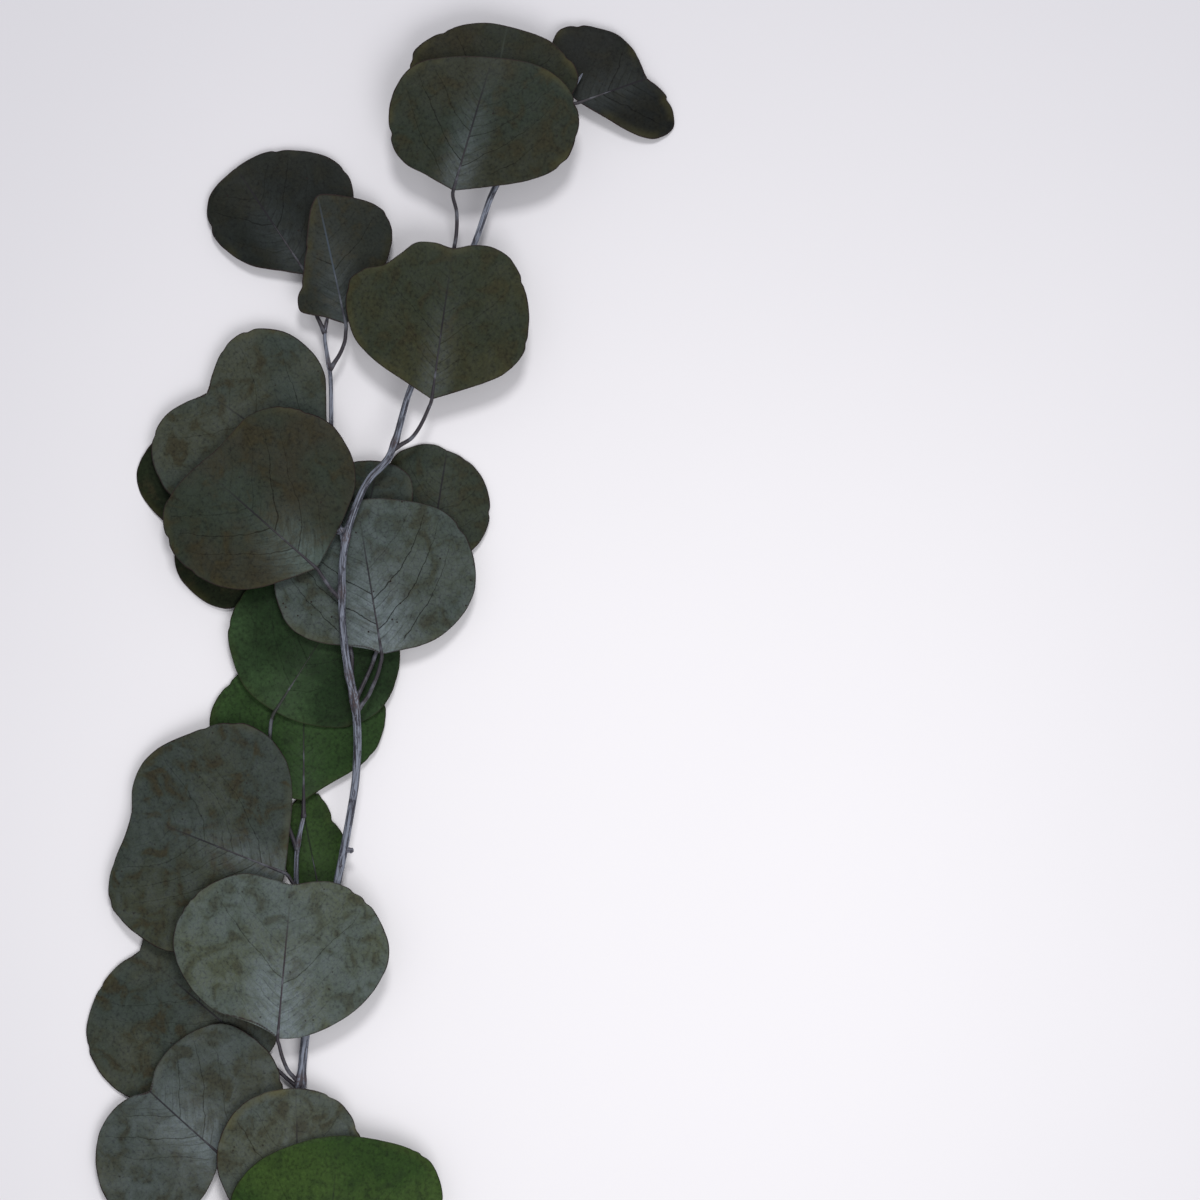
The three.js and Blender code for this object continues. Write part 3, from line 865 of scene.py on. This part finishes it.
def with_veins(paint, tone, look, veins, net, fine, rib, reach):
    """Darkens the veins and the net between them, adds fine mottling, and lays the midrib's groove."""
    dark = paint.plus(paint.times(veins, look["veins"]), paint.times(net, look["veins"] * NET_SHARE))
    dark = paint.plus(dark, paint.step(fine, *DARK_GRIT_FADE))
    tone = paint.mix(dark, tone, DARKER, "MULTIPLY")
    tone = paint.mix(paint.step(fine, *LIGHT_GRIT_FADE), tone, LIGHTER, "MULTIPLY")
    midrib = paint.times(paint.step(rib, *MIDRIB_LINE), paint.step(reach, *MIDRIB_FADE))
    return paint.mix(midrib, tone, look["midrib"])


def with_specks(paint, tone, look, place):
    """Adds small dark specks, in groups."""
    speck = paint.step(paint.cells(place, SPECK_SCALE, "F1"), *SPECK_SPOT)
    chosen = paint.step(paint.noise(place, SPECK_PLACES_SCALE, 1.0), *SPECK_PLACES_FADE)
    return paint.mix(paint.times(paint.times(speck, chosen), look["specks"]), tone, SPECK_TONE)


def with_rim(paint, tone, look, place, patchy, edge):
    """Adds olive patches along the margin and the dark dry rim."""
    patches = paint.step(paint.noise(place, RIM_PLACES_SCALE, 3.0), *RIM_PLACES_FADE)
    wide_rim = paint.times(paint.step(edge, *WIDE_RIM_FADE), patches)
    tone = paint.mix(paint.times(wide_rim, look["olive"]), tone, look["olive_tone"])
    rim = paint.times(paint.step(edge, *THIN_RIM_FADE), paint.step(patchy, *RIM_BREAKS_FADE))
    return paint.mix(rim, tone, look["rim"])


def leaf_paint(name, look, seed):
    """Blade: waxy green with olive mottling, pale bloom by the midrib, dark veins, specks and a dark rim."""
    paint = Paint(name + "_wax", 0.5, look["gloss"])
    uv = paint.node("ShaderNodeUVMap", {}, uv_map="leaf").outputs[0]
    place = paint.moved(uv, tuple(seed * step for step in PLACE_STEP))
    edge, rib, reach = (paint.value(name) for name in ("edge", "rib", "reach"))
    vein_place, below, _ = paint.node("ShaderNodeSeparateXYZ", {0: paint.vector("vein")}).outputs
    broad = paint.noise(place, BROAD_SCALE, 4.0)
    patchy = paint.noise(place, PATCH_SCALE, 6.0, 0.8)
    fine = paint.noise(place, FINE_SCALE, 5.0)
    veins = vein_lines(paint, place, vein_place, rib, edge, seed)
    net = paint.step(paint.cells(place, NET_SCALE, "DISTANCE_TO_EDGE"), *NET_LINE)

    tone = paint.mix(paint.step(broad, *BROAD_FADE), look["base"], look["second"])
    tone = paint.mix(paint.times(paint.step(patchy, *STAIN_FADE), look["mottle"]), tone, look["stain"])
    bloom = bloom_share(paint, look, veins, patchy, fine, rib, reach, vein_place)
    tone = paint.mix(bloom, tone, look["wax"])
    tone = with_veins(paint, tone, look, veins, net, fine, rib, reach)
    tone = with_specks(paint, tone, look, place)
    tone = with_rim(paint, tone, look, place, patchy, edge)
    paint.colour(paint.mix(paint.times(below, UNDERSIDE_SHARE), tone, UNDERSIDE_TONE))
    paint.roughness(paint.step(bloom, *BLOOM_SHINE_RANGE, look["shine"], BLOOM_ROUGHNESS))
    grooves = paint.plus(paint.times(veins, VEIN_HEIGHT), paint.times(net, NET_HEIGHT))
    paint.bump(paint.plus(grooves, paint.times(fine, 0.5)), 0.5, 0.1 * MM)
    return paint.material


def rib_paint(name, look, seed):
    """Stalk and midrib: dark grey with a pale waxy film in streaks."""
    paint = Paint(name + "_stalk", 0.5, 0.35)
    place = paint.node("ShaderNodeTexCoord", {}).outputs["Object"]
    reach = paint.value("stalk_reach")
    streak = paint.noise(place, STALK_STREAK_SCALE + seed, 4.0)
    fine = paint.noise(place, STALK_FINE_SCALE, 3.0)
    tone = paint.mix(paint.step(reach, *STALK_TO_MIDRIB_FADE), look["stalk"], look["midrib"])
    tone = paint.mix(paint.step(streak, *STALK_STREAK_FADE), tone, look["stalk_wax"])
    tone = paint.mix(paint.step(fine, *STALK_SPECK_FADE), tone, STALK_SPECK_TONE)
    paint.colour(tone)
    paint.bump(fine, 0.4, 0.1 * MM)
    return paint.material


def bark_paint():
    """Bark: grey with long pale streaks, partly silvery wax and partly a painted sheen, small painted
    glints, dark patches, and brown scars at the knots.
    """
    paint = Paint("stem_bark_wax", 0.6, 0.3)
    along = paint.value("along")
    side = paint.combine(paint.value("side_x"), paint.value("side_y"))
    stretched = paint.moved(side, paint.combine(z=paint.times(along, BARK_RUN)))
    close = paint.moved(side, paint.combine(z=paint.times(along, BARK_CLOSE_RUN)))
    streak = paint.noise(stretched, BARK_STREAK_SCALE, 5.0)
    patch = paint.noise(close, BARK_PATCH_SCALE, 4.0, 0.5)
    grain = paint.noise(close, BARK_GRAIN_SCALE, 4.0)
    # The pale streaks are partly the bark's silvery wax and partly a painted sheen; the glints below are
    # painted highlights.
    tone = paint.mix(paint.step(streak, *BARK_STREAK_FADE), BARK_DARK, BARK_PALE_WAX_AND_SHEEN)
    tone = paint.mix(paint.step(patch, *BARK_PATCH_FADE), tone, BARK_PATCH)
    tone = paint.mix(paint.step(grain, *BARK_GLINT_FADE), tone, BARK_GLINT)
    scar = paint.times(paint.value("knot"), paint.step(grain, *BARK_SCAR_FADE))
    paint.colour(paint.mix(scar, tone, BARK_SCAR))
    paint.roughness(paint.step(patch, *BARK_ROUGHNESS_FADE))
    paint.bump(paint.plus(streak, grain), 0.6, 0.18 * MM)
    return paint.material


# ---------------------------------------------------------------- looks of the leaves

# Colours: base, second, stain, wax, rim, olive_tone, stalk, midrib and stalk_wax.
# Shares of an effect, from 0 to 1: mottle, bloom, haze, veins, specks and olive.
# gloss is the specular level, and shine the roughness where there is no bloom.
GREY_LEAF = {
    "base": (0.027, 0.036, 0.027), "second": (0.038, 0.042, 0.026), "stain": (0.03, 0.026, 0.013),
    "mottle": 0.55, "wax": (0.2, 0.24, 0.26), "bloom": 0.5, "bloom_width": 9 * MM, "bloom_reach": 36 * MM,
    "haze": 0.09, "veins": 0.6, "specks": 0.7, "rim": (0.024, 0.014, 0.015), "olive": 0.2,
    "olive_tone": (0.09, 0.08, 0.028), "gloss": 0.07, "shine": 0.5,
    "stalk": (0.026, 0.022, 0.029), "midrib": (0.016, 0.014, 0.018), "stalk_wax": (0.13, 0.14, 0.17),
}
GREEN_LEAF = {
    **GREY_LEAF,
    "base": (0.014, 0.036, 0.008), "second": (0.022, 0.054, 0.012), "stain": (0.01, 0.02, 0.007),
    "mottle": 0.45, "bloom": 0.14, "haze": 0.01, "veins": 0.35, "specks": 0.3, "olive": 0.1,
    "wax": (0.1, 0.14, 0.09), "rim": (0.02, 0.022, 0.01), "midrib": (0.014, 0.02, 0.012), "gloss": 0.08,
    "shine": 0.45,
}
LOOKS = {
    "leaf_crown_front": {"base": (0.019, 0.026, 0.017), "second": (0.024, 0.026, 0.015), "haze": 0.03,
                         "bloom": 0.28, "bloom_width": 8 * MM, "olive": 0.3},
    "leaf_crown_back": {"base": (0.015, 0.018, 0.01), "second": (0.02, 0.018, 0.009), "haze": 0.02,
                        "bloom": 0.08, "olive": 0.35, "midrib": (0.035, 0.042, 0.034), "mottle": 0.25},
    "leaf_tip": {"base": (0.008, 0.009, 0.008), "second": (0.012, 0.013, 0.01), "haze": 0.015,
                 "bloom": 0.08, "olive": 0.25, "mottle": 0.15},
    "leaf_shoulder": {"base": (0.022, 0.027, 0.014), "second": (0.031, 0.032, 0.014), "haze": 0.03,
                      "bloom": 0.16, "bloom_width": 7 * MM},
    "leaf_upper_left": {"base": (0.009, 0.011, 0.009), "second": (0.013, 0.014, 0.01), "haze": 0.02,
                        "bloom": 0.1, "mottle": 0.15},
    "leaf_upper_left_folded": {"base": (0.014, 0.017, 0.013), "second": (0.02, 0.022, 0.016),
                               "haze": 0.02, "bloom": 0.16, "midrib": (0.05, 0.065, 0.085)},
    "leaf_left_notched": {"haze": 0.07, "bloom": 0.2, "mottle": 0.8},
    "leaf_left_rear": {"base": (0.008, 0.013, 0.006), "second": (0.013, 0.018, 0.008), "haze": 0.0,
                       "bloom": 0.05},
    "leaf_left_front": {"base": (0.021, 0.027, 0.017), "second": (0.026, 0.023, 0.013), "mottle": 0.9,
                        "bloom": 0.36, "bloom_width": 12 * MM, "bloom_reach": 26 * MM, "haze": 0.04,
                        "wax": (0.16, 0.22, 0.21)},
    "leaf_inner_rear": {"base": (0.019, 0.028, 0.019), "second": (0.026, 0.034, 0.027), "haze": 0.05,
                        "bloom": 0.1},
    "leaf_right_upper": {"base": (0.018, 0.026, 0.018), "second": (0.026, 0.032, 0.018), "haze": 0.05,
                         "bloom": 0.1},
    "leaf_right_wide": {"base": (0.032, 0.044, 0.034), "second": (0.036, 0.045, 0.03), "haze": 0.15,
                        "bloom": 0.55, "bloom_width": 15 * MM, "veins": 0.85, "specks": 1.0},
    "leaf_lower_left_large": {"base": (0.026, 0.034, 0.025), "second": (0.03, 0.034, 0.018), "haze": 0.085,
                              "bloom": 0.26, "mottle": 0.95},
    "leaf_lower_front": {"base": (0.052, 0.067, 0.051), "second": (0.054, 0.064, 0.034), "haze": 0.18,
                         "bloom": 0.52, "bloom_width": 15 * MM, "midrib": (0.026, 0.015, 0.022)},
    "leaf_bottom_left_rear": {"haze": 0.06, "bloom": 0.16, "mottle": 0.9},
    "leaf_bottom_left_front": {"base": (0.034, 0.043, 0.034), "haze": 0.15, "bloom": 0.4,
                               "bloom_width": 13 * MM},
    "leaf_bottom_centre": {"base": (0.044, 0.054, 0.042), "second": (0.05, 0.056, 0.034), "haze": 0.12,
                           "bloom": 0.3, "olive": 0.6, "mottle": 0.7},
}
GREEN_LEAVES = {
    "leaf_green_middle": {"base": (0.018, 0.042, 0.011), "second": (0.026, 0.058, 0.016)},
    "leaf_green_small": {"base": (0.017, 0.038, 0.008), "second": (0.024, 0.052, 0.012)},
    "leaf_green_upper": {"base": (0.009, 0.022, 0.007), "second": (0.025, 0.051, 0.019)},
    "leaf_bottom_green": {"base": (0.02, 0.046, 0.009), "second": (0.032, 0.062, 0.013)},
}
LEAF_PARTS = {name: leaf_parts(name) for name in LEAVES}


def leaf_look(name):
    """The look of a leaf: its own values over those of its kind."""
    if name in GREEN_LEAVES:
        return {**GREEN_LEAF, **GREEN_LEAVES[name]}
    return {**GREY_LEAF, **LOOKS[name]}


# ---------------------------------------------------------------- floor, light and camera

FLOOR_SIZE = 3.0
VIEW_CENTRE = (0.0615, 0.0223)
VIEW_WIDTH = 0.336
CAMERA_HEIGHT = 1.6
SENSOR = 36.0
# Painted light on the floor: the middle of a painted pool of light, the distances over which it fades to
# painted shade, and the lit and shaded floor colours.
PAINTED_LIGHT_SPOT = (0.08, -0.06, 0.0)
PAINTED_LIGHT_RANGE = (0.02, 0.36)
FLOOR_PAINTED_LIT = (0.88, 0.862, 0.888)
FLOOR_PAINTED_SHADE = (0.66, 0.65, 0.686)
CLOUD_SCALE = 7.0
CLOUD_SHARE = 0.12
SKY_COLOUR = (0.97, 0.97, 1.0, 1)
SKY_STRENGTH = 0.44
# Name, place, target, size and power
LIGHTS = (
    ("top_light", (0.1, 1.2, 1.7), (0.05, 0, 0), 0.55, 18.5),
    ("fill_light", (0.4, -0.7, 1.1), (0, 0, 0), 1.0, 7.8),
)


def add_floor():
    """A pale floor with a painted pool of light beside the branch that fades to painted shade further out,
    and a little cloudy.
    """
    half = FLOOR_SIZE / 2
    corners = [(-half, -half, 0), (half, -half, 0), (half, half, 0), (-half, half, 0)]
    paint = Paint("floor_paper", 0.9, 0.1)
    place = paint.node("ShaderNodeTexCoord", {}).outputs["Object"]
    ends = {0: place, 1: PAINTED_LIGHT_SPOT}
    distance = paint.node("ShaderNodeVectorMath", ends, operation="DISTANCE").outputs["Value"]
    cloud = paint.times(paint.noise(place, CLOUD_SCALE, 3.0), CLOUD_SHARE)
    # Painted light: the floor's colour is lighter near the spot beside the branch and darker further out,
    # with the paper's cloudy tone added.
    fade = paint.plus(paint.step(distance, *PAINTED_LIGHT_RANGE), cloud)
    paint.colour(paint.mix(fade, FLOOR_PAINTED_LIT, FLOOR_PAINTED_SHADE))
    floor = new_piece("floor", corners, [(0, 1, 2, 3)], [paint.material])


def add_light(name, place, target, size, power):
    """A round soft light that faces its target."""
    lamp = bpy.data.lights.new(name, "AREA")
    lamp.shape = "DISK"
    lamp.size = size
    lamp.energy = power
    light = bpy.data.objects.new(name, lamp)
    light.location = place
    light.rotation_euler = (Vector(target) - Vector(place)).to_track_quat("-Z", "Y").to_euler()
    bpy.context.scene.collection.objects.link(light)


def add_world():
    """Even pale light from all round."""
    world = bpy.data.worlds.new("studio")
    world.use_nodes = True
    shader = world.node_tree.nodes["Background"]
    shader.inputs["Color"].default_value = SKY_COLOUR
    shader.inputs["Strength"].default_value = SKY_STRENGTH
    bpy.context.scene.world = world


def add_camera():
    """Looks straight down on the branch."""
    camera = bpy.data.cameras.new("camera")
    camera.sensor_width = SENSOR
    camera.lens = SENSOR * CAMERA_HEIGHT / VIEW_WIDTH
    camera.clip_end = 10
    eye = bpy.data.objects.new("camera", camera)
    eye.location = (*VIEW_CENTRE, CAMERA_HEIGHT)
    bpy.context.scene.collection.objects.link(eye)
    bpy.context.scene.camera = eye


add_camera()
add_floor()
add_world()
for light in LIGHTS:
    add_light(*light)
bpy.context.scene.view_settings.view_transform = "Standard"

bark = bark_paint()
for stem in STEMS:
    make_stem(stem, bark)
for number, leaf in enumerate(LEAVES):
    look = leaf_look(leaf)
    make_leaf(leaf, leaf_paint(leaf, look, number), rib_paint(leaf, look, number), number + 1)
for bud in BUDS:
    make_bud(bud, bark)
